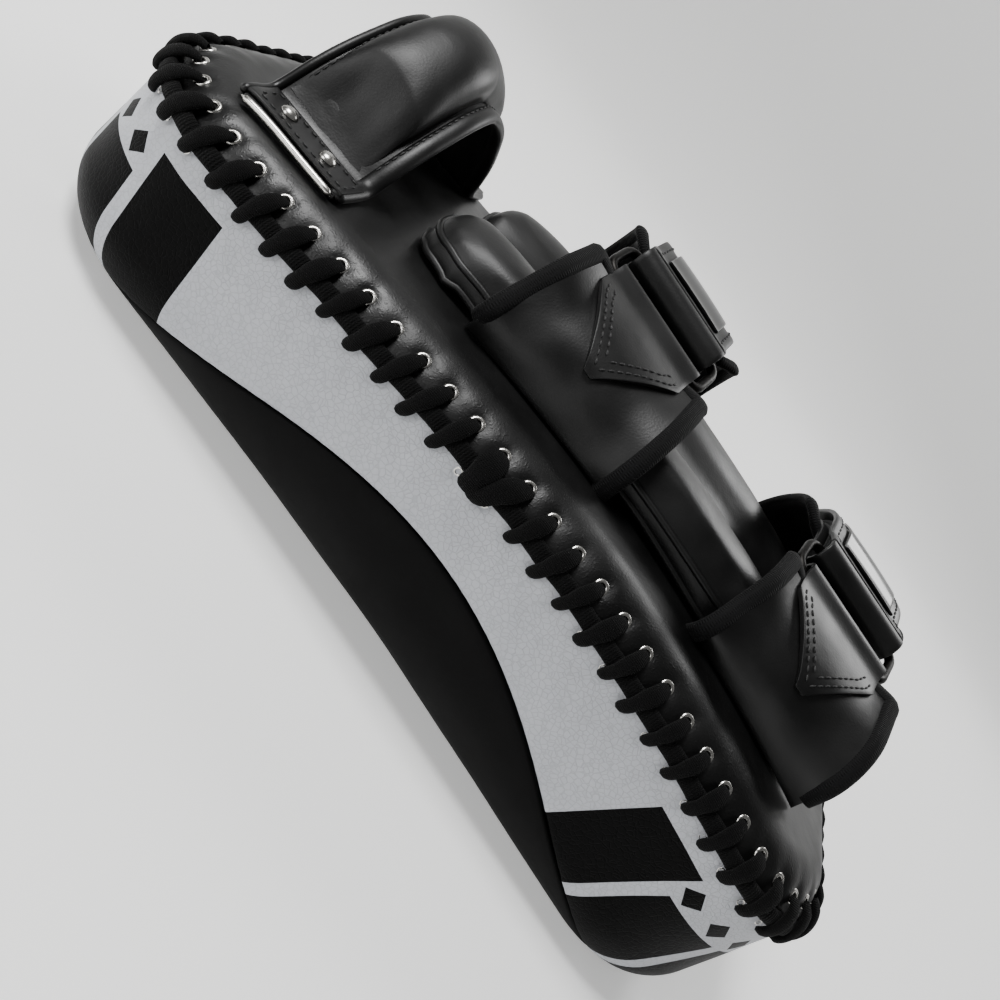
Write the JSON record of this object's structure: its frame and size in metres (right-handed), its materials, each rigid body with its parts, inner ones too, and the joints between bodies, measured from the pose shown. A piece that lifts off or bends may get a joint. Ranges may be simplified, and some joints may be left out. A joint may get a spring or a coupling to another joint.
{
  "type": "thai pad",
  "caption": "Curved foam kick pad in laced leather skins, with a padded hand grip, a forearm cushion and two forearm straps that close through rings.",
  "frame": {"origin": "middle of the bounding box's bottom face, on the strike face", "axes": "+X along the pad from the grip end to the elbow end, +Y across it, +Z from the strike face to the back"},
  "size_m": [0.4098, 0.2098, 0.1594],
  "materials": {
    "smooth_leather": "semi-gloss smooth black",
    "grain_leather": "satin pebble grain light grey with black print",
    "foam": "closed-cell foam",
    "tape": "ribbed binding tape",
    "lace": "woven flat lace",
    "hook_and_loop": "hook and loop pile",
    "moulded_rubber": "glossy moulded rubber",
    "metal": "nickel plate"
  },
  "bodies": {
    "root": {"strike_cover": "smooth_leather", "side_panel": "grain_leather", "back_panel": "smooth_leather", "front_foam": "foam", "core_foam": "foam", "back_foam": "foam", "back_eyelet_band": "smooth_leather", "side_hem": "grain_leather", "lace": "lace", "grip_band": "smooth_leather", "grip_cover": "smooth_leather", "grip_foam": "foam", "grip_welt_front": "smooth_leather", "grip_welt_rear": "smooth_leather", "near_flange_plate": "smooth_leather", "far_flange_plate": "smooth_leather", "near_flange_piping": "metal", "far_flange_piping": "metal", "grip_rivet_1": "metal", "grip_rivet_2": "metal", "grip_rivet_3": "metal", "grip_rivet_4": "metal", "vent_eyelet": "metal", "cushion_cover": "smooth_leather", "cushion_foam": "foam", "upper_near_wing": "smooth_leather", "upper_far_wing": "smooth_leather", "upper_near_binding": "tape", "upper_far_binding": "tape", "upper_ring_keeper": "smooth_leather", "upper_closure_strap": "smooth_leather", "upper_closure_fold": "smooth_leather", "upper_loop_patch": "hook_and_loop", "lower_near_wing": "smooth_leather", "lower_far_wing": "smooth_leather", "lower_near_binding": "tape", "lower_far_binding": "tape", "lower_ring_keeper": "smooth_leather", "lower_closure_strap": "smooth_leather", "lower_closure_fold": "smooth_leather", "lower_loop_patch": "hook_and_loop"},
    "upper_flap": {"upper_closure_flap": "smooth_leather", "upper_hook_patch": "hook_and_loop", "upper_flap_badge": "moulded_rubber"},
    "lower_flap": {"lower_closure_flap": "smooth_leather", "lower_hook_patch": "hook_and_loop", "lower_flap_badge": "moulded_rubber"},
    "upper_ring": {"upper_ring": "metal"},
    "lower_ring": {"lower_ring": "metal"}
  },
  "joints": [
    {"name": "upper_flap_hinge", "type": "hinge", "parent": "root", "child": "upper_flap", "pos_m": [-0.02, -0.002, 0.1495], "axis": [1, 0, 0], "range_deg": [0, 110], "deforming": ["upper_closure_fold"]},
    {"name": "lower_flap_hinge", "type": "hinge", "parent": "root", "child": "lower_flap", "pos_m": [0.115, -0.002, 0.1455], "axis": [1, 0, 0], "range_deg": [0, 110], "deforming": ["lower_closure_fold"]},
    {"name": "upper_ring_swivel", "type": "hinge", "parent": "root", "child": "upper_ring", "pos_m": [-0.02, -0.0197, 0.142], "axis": [1, 0, 0], "range_deg": [-6, 6]},
    {"name": "lower_ring_swivel", "type": "hinge", "parent": "root", "child": "lower_ring", "pos_m": [0.115, -0.0197, 0.1389], "axis": [1, 0, 0], "range_deg": [-6, 6]}
  ]
}
